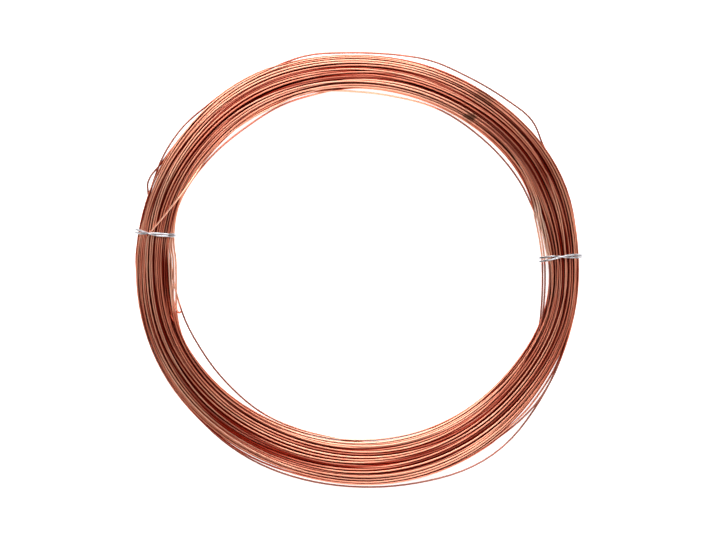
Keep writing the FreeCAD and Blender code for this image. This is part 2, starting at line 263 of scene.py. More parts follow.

# Long dark gaps between the turns on top: (angle, radius) of each one's middle.
VALLEYS = (
    ((202.0, 84.7), (225.0, 84.4), (245.0, 84.4), (265.0, 85.1), (282.0, 86.2), (300.0, 87.1),
     (315.0, 88.2), (330.0, 89.3), (346.0, 89.9)),
    ((199.0, 87.1), (212.0, 86.8), (230.0, 86.7), (243.0, 86.9), (262.0, 87.9), (282.0, 88.8),
     (296.0, 89.6)),
    ((203.0, 89.5), (220.0, 89.3), (237.0, 89.1), (252.0, 89.6), (270.0, 90.7), (290.0, 91.4)),
    ((199.0, 82.4), (210.0, 81.3), (222.0, 80.0), (232.0, 79.4), (241.0, 80.3), (252.0, 79.0),
     (270.0, 77.0), (284.0, 77.0)),
    ((228.0, 78.0), (240.0, 77.5), (253.0, 76.6)),
    ((282.0, 83.8), (291.0, 84.0), (303.0, 83.8), (318.0, 83.3), (338.0, 84.8)),
    ((286.0, 81.1), (301.0, 80.7), (318.0, 81.7), (332.0, 83.0)),
    ((288.0, 78.0), (303.0, 78.3), (320.0, 79.8)),
    ((172.0, 92.9), (183.0, 93.2), (195.0, 93.2), (206.0, 93.8)),
    ((172.0, 88.6), (183.0, 88.0), (197.0, 87.9)),
    ((172.0, 85.4), (184.0, 84.6), (197.0, 84.0)),
    ((50.0, 91.7), (60.0, 90.7), (70.0, 88.2), (82.0, 87.4), (96.0, 87.4), (107.0, 89.6), (118.0, 92.4)),
    ((56.0, 83.6), (70.0, 83.0), (86.0, 83.0), (104.0, 83.0), (125.0, 82.6), (137.0, 83.5),
     (148.0, 85.2), (161.0, 87.5)),
    ((58.0, 79.9), (72.0, 79.4), (90.0, 79.4), (104.0, 80.6), (122.0, 81.3), (135.0, 81.8), (152.0, 83.6)),
    ((70.0, 85.8), (80.0, 85.2), (96.0, 85.4), (115.0, 84.7), (135.0, 85.8), (155.0, 87.4), (167.0, 89.8)),
    ((110.0, 90.0), (128.0, 90.4), (145.0, 92.2), (165.0, 93.4)),
    ((5.0, 93.0), (25.0, 93.4), (40.0, 92.9), (54.0, 90.6)),
    ((5.0, 91.0), (20.0, 91.4), (35.0, 90.4), (47.0, 88.6), (55.0, 87.6)),
    ((7.0, 88.6), (20.0, 89.0), (35.0, 88.2), (48.0, 86.3)),
    ((10.0, 90.2), (19.0, 87.4), (29.0, 84.6), (40.0, 82.6)),
    ((14.0, 86.2), (28.0, 86.6), (42.0, 84.6), (56.0, 81.6)),
    ((346.0, 92.8), (360.0, 91.8)),
    ((342.0, 87.0), (352.0, 86.0)),
)
VALLEY_HALF_WIDTH = 0.42
VALLEY_DEPTH = 1.6
VALLEY_EASE = 5.0  # degrees over which a valley's ends fade
PRESSED_FROM = 0.2  # above a valley's floor, a turn is also moved to its side
PRESSED_ASIDE = 0.1  # in each step

# ---------------------------------------------------------------- how the bundle is laid
SEED = 20
RELAX_STEPS = 240
STATION_PULL = 0.035  # share of the way back to its own place that a turn moves in one step
SMOOTHING = 0.45
LATE_FADE = 0.8  # share of the smoothing that is gone by the last step
LOOSE_UNTIL = 0.8  # share of the steps in which the upper turns keep more room
PUSH_SHARE = 0.85  # of the way apart that two turns move in one step
FINAL_STEPS = 6
FINAL_PUSH_SHARE = 0.9
FINAL_SMOOTHING = 0.3
LIFT = 0.006  # of the upper turns in each step, which fills the bundle to its top
LIFT_FROM, LIFT_OVER = 0.2, 0.5  # of the half height: where the lift begins
FIRST_HALF_SIZES = 7.4, 3.6  # of the section over which the turns are first spread
FIRST_STEPS = 200
FIRST_PUSH_SHARE = 0.7
FIRST_SPACING = 1.0  # of the turns in the section, before they are laid
LEAST_SPACING = 0.83
TOP_SPACING = 1.5  # least spacing of the topmost turns, as a multiple of an even spread's
LOOSE_FROM, LOOSE_OVER = 0.1, 0.7  # of the half height: where the turns begin to lie wider apart
LOOSENESS = 0.35, 1.5  # least and most share of the extra room, which changes along the wire
LOOSENESS_KNOTS = 3  # a turn: how often it changes
ACROSS_WANDER = 1.5  # how far a turn strays from its place across the bundle
UPWARD_WANDER = 1.0
WANDER_WAVES = ((0.55, 0.5), (1.3, 0.5), (2.6, 0.3), (5.2, 0.12))  # waves a turn, and their weight
SQUASH_REACH = 1.05
SQUASH_SHARPNESS = 10
DRIFT_START = -0.42, 0.3  # in turns from a turn's end: where the wire leaves its place
DRIFT_LENGTH = 0.12, 0.5  # in turns: how long it takes to reach the next place
NEXT_CHOICES = 4  # nearest free places, of which the wire takes one

# The area of an ellipse is PI times its two half sizes; the section is a little fuller. The area
# that one turn takes in the closest even spread is HEXAGON times its spacing squared.
SECTION_FULLNESS = 3.5
HEXAGON = 0.866

# Where the wire's colour gets painted shade for lying inside the bundle: by its level in the section
# (1 on the outline), and by how far its surface faces away from the bundle.
BURIED_BELOW, OPEN_FROM = 0.62, 0.92
FACING_IN, FACING_OUT = -0.1, 0.75
CLEAR_FROM, CLEAR_OVER = 1.06, 0.1  # past the outline, a turn is in the open all round


def smooth_step(share):
    share = np.clip(share, 0.0, 1.0)
    return share * share * (3 - 2 * share)


def through_points(places, values, at):
    """A smooth curve through (place, value) pairs, read at the given places. The ends run level."""
    places, values, at = np.asarray(places, float), np.asarray(values, float), np.asarray(at, float)
    slopes = np.gradient(values, places)
    span = np.clip(np.searchsorted(places, at) - 1, 0, len(places) - 2)
    width = places[span + 1] - places[span]
    share = np.clip((at - places[span]) / width, 0.0, 1.0)
    start, end = values[span], values[span + 1]
    leave, arrive = slopes[span] * width, slopes[span + 1] * width
    return (
        start * (2 * share**3 - 3 * share**2 + 1)
        + leave * (share**3 - 2 * share**2 + share)
        + end * (3 * share**2 - 2 * share**3)
        + arrive * (share**3 - share**2)
    )


def bundle_edge(angles, which):
    """The bundle's inner (0) or outer (1) radius at each angle."""
    count = len(BUNDLE_EDGES)
    places = np.arange(-2, count + 3) * EDGE_STEP
    values = [BUNDLE_EDGES[i % count][which] for i in range(-2, count + 3)]
    return through_points(places, values, np.mod(angles, 360))


def angle_between(first, second):
    """The signed difference of two angles, from -180 to 180."""
    return np.mod(np.asarray(first) - second + 180, 360) - 180


def section_at(angles):
    """The bundle's section at each angle: middle radius, middle height, half width, half height."""
    inner, outer = bundle_edge(angles, 0), bundle_edge(angles, 1)
    height = np.minimum(BUNDLE_AREA / (outer - inner), MOST_HEIGHT)
    bottom = np.zeros_like(height)
    for tie in TIES.values():
        near = smooth_step(1 - np.abs(angle_between(angles, tie["angle"])) / WAIST_REACH)
        inner += (tie["inner"] - inner) * near
        outer += (tie["outer"] - outer) * near
        height += (tie["height"] - height) * near
        bottom += (TIE_GAUGE + TIE_FLOOR_GAP) * near
    return (inner + outer) / 2, bottom + height / 2, (outer - inner) / 2, height / 2


def pushed_apart(places, rooms):
    """How each point moves so that it keeps its room from the others of its group.

    places is (groups, points, 2) and rooms (groups, points): two points are to be the mean of their
    two rooms apart.
    """
    apart = places[:, :, None, :] - places[:, None, :, :]
    distance = np.sqrt((apart**2).sum(-1)) + TINY
    overlap = np.maximum((rooms[:, :, None] + rooms[:, None, :]) / 2 - distance, 0.0)
    count = places.shape[1]
    overlap[:, np.arange(count), np.arange(count)] = 0.0
    return (apart * (overlap / distance)[..., None]).sum(2) / 2


def kept_inside(offsets, half_sizes):
    """Moves offsets from the section's middle that lie outside its outline back onto it."""
    shares = np.abs(offsets) / half_sizes
    level = (shares**BUNDLE_SQUARENESS).sum(-1, keepdims=True) ** (1 / BUNDLE_SQUARENESS)
    return offsets / np.maximum(level, 1.0)


def squashed_inside(offsets, half_sizes):
    """Draws offsets from the section's middle smoothly in, so that none lie outside its outline."""
    shares = np.abs(offsets) / half_sizes
    level = (shares**BUNDLE_SQUARENESS).sum(-1, keepdims=True) ** (1 / BUNDLE_SQUARENESS)
    return offsets * SQUASH_REACH / (1 + level**SQUASH_SHARPNESS) ** (1 / SQUASH_SHARPNESS)


def places_in_section(rng):
    """An uneven but full spread of one place for each turn, as shares of the section's half sizes."""
    half = np.array(FIRST_HALF_SIZES) - WIRE_RADIUS
    offsets = rng.uniform(-1, 1, (TURNS, 2)) * half
    rooms = np.full((1, TURNS), FIRST_SPACING)
    for _ in range(FIRST_STEPS):
        offsets += pushed_apart(offsets[None], rooms)[0] * FIRST_PUSH_SHARE
        offsets = kept_inside(offsets, half)
    return offsets / half


def winding_order(places, rng):
    """The order in which the wire takes its places: mostly to a near one, from the inside outwards."""
    left = list(range(len(places)))
    here = min(left, key=lambda i: places[i][0] + abs(places[i][1]) * 0.3)
    order = [here]
    left.remove(here)
    while left:
        reach = [math.dist(places[i] * (2.0, 1.0), places[here] * (2.0, 1.0)) for i in left]
        nearest = sorted(range(len(left)), key=lambda i: reach[i])[:NEXT_CHOICES]
        here = left.pop(nearest[int(rng.integers(len(nearest)))])
        order.append(here)
    return order


def settled_places(rng):
    """Each control point's share of the section: a turn keeps its place, then drifts to the next."""
    places = places_in_section(rng)
    order = winding_order(places, rng)
    position = np.arange(TURNS * STATIONS) / STATIONS
    shares = np.tile(places[order[0]], (len(position), 1))
    for turn in range(1, TURNS):
        start = turn + rng.uniform(*DRIFT_START)
        length = rng.uniform(*DRIFT_LENGTH)
        step = smooth_step((position - start) / length)
        shares += step[:, None] * (places[order[turn]] - places[order[turn - 1]])
    return shares


def wander(rng):
    """A slow stray of the wire along its whole length, in millimetres, for radius and height."""
    steps = TURNS * STATIONS
    stray = np.zeros((steps, 2))
    for waves, weight in WANDER_WAVES:
        knots = int(TURNS * waves * 2) + 2
        at = np.linspace(0, knots - 1.001, steps)
        for axis, size in enumerate((ACROSS_WANDER, UPWARD_WANDER)):
            heights = rng.normal(0, 1, knots)
            stray[:, axis] += size * weight * through_points(np.arange(knots), heights, at)
    return stray


def host_turn(angles, target, ends, taken):
    """The turn nearest to where a loose stretch leaves the bundle and comes back, not yet in use."""
    costs = []
    for turn in range(1, TURNS - 1):
        stations = [turn * STATIONS + int(round((a - FIRST_ANGLE) / STATION_STEP)) for a, _, _ in ends]
        if any((station // 2) in taken for station in range(stations[0] - 3, stations[1] + 4)):
            continue
        gap = sum(
            math.dist(target[station], (radius, height))
            for station, (_, radius, height) in zip(stations, ends)
        )
        costs.append((gap, turn))
    return min(costs)[1]


def lay_loose_stretches(angles, target):
    """Leads the chosen turns along the loose stretches. Returns each stretch's stations."""
    held = np.zeros(len(target), bool)
    taken = set()
    stretches = []
    for name, points in LOOSE_STRETCHES.items():
        last_turn = name == "far_end"
        turn = TURNS if last_turn else host_turn(angles, target, (points[0], points[-1]), taken)
        places = np.array([turn * 360 + point[0] for point in points])
        first = int(math.ceil((places[0] - FIRST_ANGLE - EASE) / STATION_STEP))
        last = int(math.floor((places[-1] - FIRST_ANGLE + EASE) / STATION_STEP))
        stations = np.arange(max(first, 0), min(last + 1, len(target)))
        at = FIRST_ANGLE + stations * STATION_STEP
        outside = np.maximum(np.maximum(places[0] - at, at - places[-1]), 0.0)
        share = (1 - smooth_step(outside / EASE))[:, None]
        inside_at = np.clip(at, places[0], places[-1])
        path = np.stack(
            [through_points(places, [p[i] for p in points], inside_at) for i in (1, 2)], axis=1
        )
        target[stations] += (path - target[stations]) * share
        held[stations[outside <= 0]] = True
        taken.update(int(station // 2) for station in stations)
        stretches.append((name, places, points))
    return held, stretches


def rooms_for(places, middle, half, looseness):
    """The room that each turn keeps: little low in the bundle, more at its top, uneven over all."""
    spread = np.sqrt(SECTION_FULLNESS * half[:, 0] * half[:, 1] / (HEXAGON * TURNS))
    level = smooth_step(((places[:, 1] - middle[:, 1]) / half[:, 1] - LOOSE_FROM) / LOOSE_OVER)
    extra = np.maximum(spread * TOP_SPACING - LEAST_SPACING, 0.0)
    return LEAST_SPACING + extra * level * looseness


def by_station(values):
    """One value or row for each control point, regrouped so that each station has its turns."""
    return values.reshape(TURNS, STATIONS, -1).transpose(1, 0, 2)


def by_wire(values):
    """The reverse of by_station: back in the wire's own order."""
    return values.transpose(1, 0, 2).reshape(TURNS * STATIONS, -1)


def ceilings(angles, middle, half):
    """Each valley's control points: their rows, its radius, its depth and the bundle's top there."""
    found = []
    for valley in VALLEYS:
        places = np.array([angle for angle, _ in valley])
        at = places[0] + np.mod(angles - places[0], 360)
        rows = np.flatnonzero(at <= places[-1])
        ends = smooth_step(np.minimum(at[rows] - places[0], places[-1] - at[rows]) / VALLEY_EASE)
        radius = through_points(places, [radius for _, radius in valley], at[rows])
        found.append((rows, radius, VALLEY_DEPTH * ends, middle[rows, 1] + half[rows, 1]))
    return found


def below_ceilings(places, valleys):
    """Presses turns down into the valleys, and to their sides."""
    for rows, radius, depth, top in valleys:
        off = (places[rows, 0] - radius) / VALLEY_HALF_WIDTH
        low = top - depth * np.exp(-(off**2))
        over = np.maximum(places[rows, 1] - low, 0.0)
        places[rows, 1] -= over
        places[rows, 0] += np.where(over > PRESSED_FROM, np.sign(off) * PRESSED_ASIDE, 0.0)


def lay_turns():
    """The control points of the wire in the coil's own terms: angle, radius and height of each."""
    rng = np.random.default_rng(SEED)
    count = TURNS * STATIONS
    angles = FIRST_ANGLE + np.arange(count) * STATION_STEP
    middle_radius, middle_height, half_width, half_height = section_at(angles)
    middle = np.stack([middle_radius, middle_height], axis=1)
    half = np.stack([half_width, half_height], axis=1) - WIRE_RADIUS
    target = middle + squashed_inside(settled_places(rng) * half + wander(rng), half)
    held, stretches = lay_loose_stretches(angles, target)
    free = ~held[:, None]
    knots = rng.uniform(*LOOSENESS, TURNS * LOOSENESS_KNOTS + 1)
    along = np.arange(count) / STATIONS * LOOSENESS_KNOTS
    looseness = np.interp(along, np.arange(len(knots)), knots)
    least = np.full((STATIONS, TURNS), LEAST_SPACING)
    valleys = ceilings(angles, middle, half)

    places = target.copy()
    for step in range(RELAX_STEPS):
        late = step / RELAX_STEPS
        stray = places - target
        stray *= 1 - STATION_PULL * (1 - late)
        smooth = (np.roll(stray, 1, 0) + np.roll(stray, -1, 0)) / 2
        stray[1:-1] += (smooth - stray)[1:-1] * SMOOTHING * (1 - LATE_FADE * late)
        places = np.where(free, target + stray, places)
        rooms = least
        if late < LOOSE_UNTIL:
            rooms = by_station(rooms_for(places, middle, half, looseness))[..., 0]
        push = by_wire(pushed_apart(by_station(places), rooms))
        level = (places - middle)[:, 1] / half[:, 1]
        push[:, 1] += LIFT * smooth_step((level - LIFT_FROM) / LIFT_OVER)
        places = places + np.where(free, push * PUSH_SHARE, 0.0)
        inside = middle + kept_inside(places - middle, half)
        below_ceilings(inside, valleys)
        places = np.where(free, inside, places)
    for _ in range(FINAL_STEPS):
        push = by_wire(pushed_apart(by_station(places), least))
        places = places + np.where(free, push * FINAL_PUSH_SHARE, 0.0)
        smooth = (places[:-2] + places[2:]) / 2
        places[1:-1] += np.where(free[1:-1], (smooth - places[1:-1]) * FINAL_SMOOTHING, 0.0)
        places[:, 1] = np.maximum(places[:, 1], WIRE_RADIUS)
    return angles, places, stretches


def with_kinks(angles, places, stretches):
    """Adds control points between the stations where a loose stretch bends."""
    extra_angles, extra_places = [], []
    for _, stretch_angles, points in stretches:
        if len(points) / (points[-1][0] - points[0][0]) < KINKED_FROM:
            continue
        start = math.ceil(stretch_angles[0] / KINK_STEP) * KINK_STEP + KINK_STEP / 2
        at = np.arange(start, stretch_angles[-1], KINK_STEP)
        gaps = np.abs(np.mod(at - FIRST_ANGLE + STATION_STEP / 2, STATION_STEP) - STATION_STEP / 2)
        at = at[gaps > KINK_CLEARANCE]
        extra_angles.append(at)
        extra_places.append(
            np.stack([through_points(stretch_angles, [p[i] for p in points], at) for i in (1, 2)], 1)
        )
    all_angles = np.concatenate([angles, *extra_angles])
    all_places = np.concatenate([places, *extra_places])
    order = np.argsort(all_angles, kind="stable")
    return all_angles[order], all_places[order]


def in_space(angles, places):
    """Angle, radius and height as X, Y and Z."""
    turn = np.radians(angles)
    return np.stack([places[:, 0] * np.cos(turn), places[:, 0] * np.sin(turn), places[:, 1]], axis=1)


def spline_through(name, controls):
    """The points of a NURBS spline with these control points, in millimetres."""
    curve = bpy.data.curves.new(name, "CURVE")
    curve.dimensions = "3D"
    curve.resolution_u = SPANS
    spline = curve.splines.new("NURBS")
    spline.points.add(len(controls) - 1)
    flat = np.ones((len(controls), 4))
    flat[:, :3] = np.asarray(controls) * METRES
    spline.points.foreach_set("co", flat.ravel())
    spline.order_u = 3
    spline.use_endpoint_u = True
    holder = bpy.data.objects.new(name, curve)
    bpy.context.scene.collection.objects.link(holder)
    bpy.context.view_layer.update()
    line = bpy.data.meshes.new_from_object(holder)
    points = np.empty(len(line.vertices) * 3)
    line.vertices.foreach_get("co", points)
    bpy.data.meshes.remove(line)
    bpy.data.objects.remove(holder)
    bpy.data.curves.remove(curve)
    return points.reshape(-1, 3) / METRES


def directions_along(points):
    """The unit direction of a line at each of its points."""
    along = np.gradient(points, axis=0)
    along /= np.linalg.norm(along, axis=1, keepdims=True)
    return along


def frames_along(points):
    """The directions along a line and two directions across it, level and upright."""
    along = directions_along(points)
    up = np.array([0.0, 0.0, 1.0])
    side = np.cross(along, up)
    side /= np.linalg.norm(side, axis=1, keepdims=True)
    return along, side, np.cross(side, along)


def steady_frames(points):
    """As frames_along, for a line that may run upright: each frame is turned on from the last."""
    along = directions_along(points)
    side = np.empty_like(along)
    start = np.cross(along[0], ANY_DIRECTION)
    side[0] = start / np.linalg.norm(start)
    for i in range(1, len(points)):
        kept = side[i - 1] - along[i] * (side[i - 1] @ along[i])
        side[i] = kept / np.linalg.norm(kept)
    return along, side, np.cross(side, along)


def directions_round(frames, sides):
    """The directions from a tube's middle line to its sides, for each of its rings."""
    _, side, over = frames
    around = np.linspace(0, 2 * math.pi, sides, endpoint=False)
    return side[:, None] * np.cos(around)[:, None] + over[:, None] * np.sin(around)[:, None]


def tube_mesh(name, points, radius, sides, frames, rows):
    """A closed round tube along points, with rings at its points and slightly domed ends.

    Its map has one row for each of rows equal shares of the rings, so a long wire's turns lie
    beside each other on it.
    """
    along = frames[0]
    body = (points[:, None] + directions_round(frames, sides) * radius).reshape(-1, 3)
    rings = len(points)
    start_tip = points[0] - along[0] * radius * END_DOME
    end_tip = points[-1] + along[-1] * radius * END_DOME
    vertices = np.concatenate([body, [start_tip, end_tip]]) * METRES

    ring, corner = np.meshgrid(np.arange(rings - 1), np.arange(sides), indexing="ij")
    following = (corner + 1) % sides
    quads = np.stack(
        [
            ring * sides + corner,
            (ring + 1) * sides + corner,
            (ring + 1) * sides + following,
            ring * sides + following,
        ],
        axis=-1,
    ).reshape(-1, 4)
    first, last = rings * sides, rings * sides + 1
    each = np.arange(sides)
    start_cap = np.stack([np.full(sides, first), each, (each + 1) % sides], axis=1)
    end_cap = np.stack(
        [np.full(sides, last), (rings - 1) * sides + (each + 1) % sides, (rings - 1) * sides + each],
        axis=1,
    )
    faces = quads.tolist() + start_cap.tolist() + end_cap.tolist()
    mesh = bpy.data.meshes.new(name)
    mesh.from_pydata(vertices.tolist(), [], faces)

    per_row = (rings - 1) / rows
    row = np.floor(ring / per_row + TINY)
    left, right = ring / per_row - row, (ring + 1) / per_row - row
    low = (row + MAP_MARGIN + (1 - 2 * MAP_MARGIN) * corner / sides) / rows
    high = (row + MAP_MARGIN + (1 - 2 * MAP_MARGIN) * (corner + 1) / sides) / rows
    quad_map = np.stack(
        [np.stack([left, low], -1), np.stack([right, low], -1), np.stack([right, high], -1),
         np.stack([left, high], -1)],
        axis=2,
    ).reshape(-1, 2)
    cap_map = np.zeros((2 * sides * 3, 2))  # two caps of one triangle for each side
    cap_map[: sides * 3] = quad_map[0]
    cap_map[sides * 3:] = quad_map[-2]
    layer = mesh.uv_layers.new(name="OFBake")
    layer.uv.foreach_set("vector", np.concatenate([quad_map, cap_map]).astype(np.float32).ravel())
    mesh.shade_smooth()
    mesh.validate()
    return mesh


def write_values(mesh, name, values):
    """Keeps one number for each vertex of a tube as an attribute that its material reads.

    values has a row for each ring; the two tips of the ends take their ring's mean.
    """
    layer = mesh.attributes.new(name, "FLOAT", "POINT")
    tips = [values[0].mean(), values[-1].mean()]
    layer.data.foreach_set("value", np.append(values.ravel(), tips).astype(np.float32))


def painted_shade_share(points, frames, sides):
    """How deep in the bundle each vertex of the wire lies or faces, which sets its painted shade: 0 in the
    open, 1 well inside.
    """
    radii = np.hypot(points[:, 0], points[:, 1])
    outwards = np.stack([points[:, 0] / radii, points[:, 1] / radii, np.zeros(len(points))], axis=1)
    angles = np.degrees(np.arctan2(points[:, 1], points[:, 0]))
    middle_radius, middle_height, half_width, half_height = section_at(angles)
    half = np.stack([half_width, half_height], axis=1) - WIRE_RADIUS
    shares = np.stack([radii - middle_radius, points[:, 2] - middle_height], axis=1) / half
    level = (np.abs(shares) ** BUNDLE_SQUARENESS).sum(1) ** (1 / BUNDLE_SQUARENESS)
    facing = np.sign(shares) * np.abs(shares) ** (BUNDLE_SQUARENESS - 1) / half
    facing /= np.linalg.norm(facing, axis=1, keepdims=True) + TINY

    normals = directions_round(frames, sides)
    faced = (normals @ outwards[:, :, None])[..., 0] * facing[:, :1] + normals[..., 2] * facing[:, 1:]
    near_surface = smooth_step((level - BURIED_BELOW) / (OPEN_FROM - BURIED_BELOW))[:, None]
    turned_out = smooth_step((faced - FACING_IN) / (FACING_OUT - FACING_IN))
    clear = smooth_step((level - CLEAR_FROM) / CLEAR_OVER)[:, None]
    return 1 - np.maximum(near_surface * turned_out, clear)


def add_piece(name, mesh, material, replaced):
    """A piece of the visual, in place of a node of the CAD."""
    piece = bpy.data.objects.new(name, mesh)
    bpy.context.scene.collection.objects.link(piece)
    mesh.materials.append(material)
    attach(piece, "root")
    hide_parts(replaced)
    return piece


# ---------------------------------------------------------------- materials
# The brown stains on the turns: place and reach in metres, and how strong each is.
STAINS = (((0.0479, 0.0652, 0.0065), 0.0031, 0.9), ((0.0545, 0.0745, 0.0060), 0.0065, 0.45))
STAIN_COLOUR = (0.10, 0.045, 0.025)
PAINTED_SHADE_COPPER = (0.24, 0.010, 0.002)  # painted shade inside the bundle, for light gone from turn to turn
PAINTED_SHADE_SHARE = 0.98
COPPER_TONES = (  # from the palest copper to the darkest
    (0.0, (1.0, 0.64, 0.49)), (0.2, (0.975, 0.54, 0.38)), (0.5, (0.94, 0.41, 0.27)),
    (0.75, (0.70, 0.205, 0.125)), (1.0, (0.36, 0.15, 0.115)),
)
COPPER_EDGE_TINT = (1.0, 0.4, 0.22, 1)
COPPER_ROUGHNESS = 0.28, 0.40  # of fresh and of dull copper
STAIN_ROUGHNESS = 0.3  # added
ZINC_TONES = ((0.3, (0.44, 0.44, 0.47)), (0.7, (0.70, 0.70, 0.72)))
ZINC_ROUGHNESS = 0.28, 0.38
PIT_STRENGTH, PIT_DEPTH = 0.06, 0.00003


def new_material(name):
    """A node material and its Principled shader."""
    material = bpy.data.materials.new(name)
    material.use_nodes = True
    return material, material.node_tree, material.node_tree.nodes["Principled BSDF"]


def add_node(tree, kind, links=None, **settings):
    """A node with its settings; a name of the form in_Name sets the input of that name."""
    node = tree.nodes.new(kind)
    for key, value in settings.items():
        if key.startswith("in_"):
            node.inputs[key[3:].replace("_", " ")].default_value = value
        else:
            setattr(node, key, value)
    for socket, source in (links or {}).items():
        tree.links.new(source, node.inputs[socket])
    return node


def ramp_node(tree, source, stops):
    """A colour ramp over source, with (position, colour) stops."""
    node = add_node(tree, "ShaderNodeValToRGB", {"Fac": source})
    ramp = node.color_ramp
    while len(ramp.elements) < len(stops):
        ramp.elements.new(0.5)
    for element, (position, colour) in zip(ramp.elements, stops):
        element.position = position
        element.color = (*colour, 1)
    return node


def math_node(tree, operation, first, second):
    """A maths node over two inputs, each a socket or a number."""
    node = tree.nodes.new("ShaderNodeMath")
    node.operation = operation
    for socket, value in zip(node.inputs, (first, second)):
        if isinstance(value, (int, float)):
            socket.default_value = value
        else:
            tree.links.new(value, socket)
    return node.outputs[0]


def map_node(tree, source, from_range, to_range):
    """Source mapped evenly from one range to the other, and kept inside it."""
    node = add_node(tree, "ShaderNodeMapRange", {"Value": source})
    for name, value in zip(("From Min", "From Max", "To Min", "To Max"), (*from_range, *to_range)):
        node.inputs[name].default_value = value
    return node.outputs["Result"]


def noise_node(tree, place, scale, detail, roughness=0.6):
    """Noise over a place, with about scale cells a metre."""
    settings = dict(in_Scale=scale, in_Detail=detail, in_Roughness=roughness)
    return add_node(tree, "ShaderNodeTexNoise", {"Vector": place}, **settings).outputs["Fac"]


def mixed(tree, share, first, second):
    """The colour first, mixed by share with the colour second."""
    node = add_node(tree, "ShaderNodeMix", data_type="RGBA")
    tree.links.new(share, node.inputs[0])
    tree.links.new(first, node.inputs[6])
    node.inputs[7].default_value = (*second, 1)
    return node.outputs[2]


def add_pits(tree, shader, height):
    """A faint bump over the whole surface."""
    bump = add_node(
        tree, "ShaderNodeBump", {"Height": height}, in_Strength=PIT_STRENGTH, in_Distance=PIT_DEPTH
    )
    tree.links.new(bump.outputs["Normal"], shader.inputs["Normal"])


def make_copper():
    """Bare drawn copper: a tone for each stretch of wire, light tarnish, fine pits and the stains, with
    painted shade inside the bundle.
    """
    material, tree, shader = new_material("bare_copper")
    place = add_node(tree, "ShaderNodeTexCoord").outputs["Object"]
    tone = add_node(tree, "ShaderNodeAttribute", attribute_name="tone").outputs["Fac"]
    patches = noise_node(tree, place, 60.0, 4.0)
    speckle = noise_node(tree, place, 1100.0, 2.0)

    shade = math_node(tree, "MULTIPLY", tone, 0.5)
    shade = math_node(tree, "ADD", shade, math_node(tree, "MULTIPLY", patches, 0.4))
    shade = math_node(tree, "ADD", shade, math_node(tree, "MULTIPLY", speckle, 0.08))
    clean = ramp_node(tree, shade, COPPER_TONES).outputs["Color"]

    ragged = map_node(tree, noise_node(tree, place, 350.0, 2.0), (0.3, 0.7), (-0.0015, 0.0015))
    stain = 0.0
    for middle, reach, strength in STAINS:
        offset = add_node(tree, "ShaderNodeVectorMath", {0: place}, operation="DISTANCE")
        offset.inputs[1].default_value = middle
        distance = math_node(tree, "ADD", offset.outputs["Value"], ragged)
        share = map_node(tree, distance, (reach, reach * 0.4), (0.0, strength))
        stain = math_node(tree, "MAXIMUM", share, stain)
    # Painted shade: the colour turns dark red where the wire lies inside the bundle.
    painted_shade = add_node(tree, "ShaderNodeAttribute", attribute_name="painted_shade").outputs["Fac"]
    deep = mixed(tree, math_node(tree, "MULTIPLY", painted_shade, PAINTED_SHADE_SHARE), clean, PAINTED_SHADE_COPPER)
    tree.links.new(mixed(tree, stain, deep, STAIN_COLOUR), shader.inputs["Base Color"])

    worn = map_node(tree, shade, (0.25, 0.75), COPPER_ROUGHNESS)
    stained = math_node(tree, "MULTIPLY", stain, STAIN_ROUGHNESS)
    tree.links.new(math_node(tree, "ADD", worn, stained), shader.inputs["Roughness"])
    add_pits(tree, shader, speckle)
    shader.inputs["Metallic"].default_value = 1.0
    shader.inputs["Specular Tint"].default_value = COPPER_EDGE_TINT
    return material


def make_galvanised():
    """Galvanised tie wire: satin zinc with faint cloudy crystals."""
    material, tree, shader = new_material("galvanised_wire")
    place = add_node(tree, "ShaderNodeTexCoord").outputs["Object"]
    cloud = noise_node(tree, place, 900.0, 3.0, roughness=0.55)
    tree.links.new(ramp_node(tree, cloud, ZINC_TONES).outputs["Color"], shader.inputs["Base Color"])
    tree.links.new(map_node(tree, cloud, (0, 1), ZINC_ROUGHNESS), shader.inputs["Roughness"])
    add_pits(tree, shader, cloud)
    shader.inputs["Metallic"].default_value = 1.0
    return material


# ---------------------------------------------------------------- the pieces
def make_wire():
    """The whole copper wire, from its inner end round all its turns, and the points it follows."""
    angles, places, stretches = lay_turns()
    angles, places = with_kinks(angles, places, stretches)
    hook = np.array(END_HOOK)
    angles = np.append(angles, hook[:, 0] + TURNS * 360)
    places = np.concatenate([places, hook[:, 1:]])
    controls = in_space(angles, places)
    points = spline_through("copper_wire_route", controls)
    frames = frames_along(points)
    mesh = tube_mesh("copper_wire", points, WIRE_RADIUS, WIRE_SIDES, frames, TURNS)
    travelled = np.interp(np.linspace(0, 1, len(points)), np.linspace(0, 1, len(angles)), angles)
    # The wire's own tone, with painted highlight and painted shade in some stretches and patches.
    tones = wire_tones(points, travelled, stretches)
    write_values(mesh, "tone", np.repeat(tones[:, None], WIRE_SIDES, axis=1))
    # Painted shade where the wire lies inside the bundle.
    write_values(mesh, "painted_shade", painted_shade_share(points, frames, WIRE_SIDES))
    return mesh, points


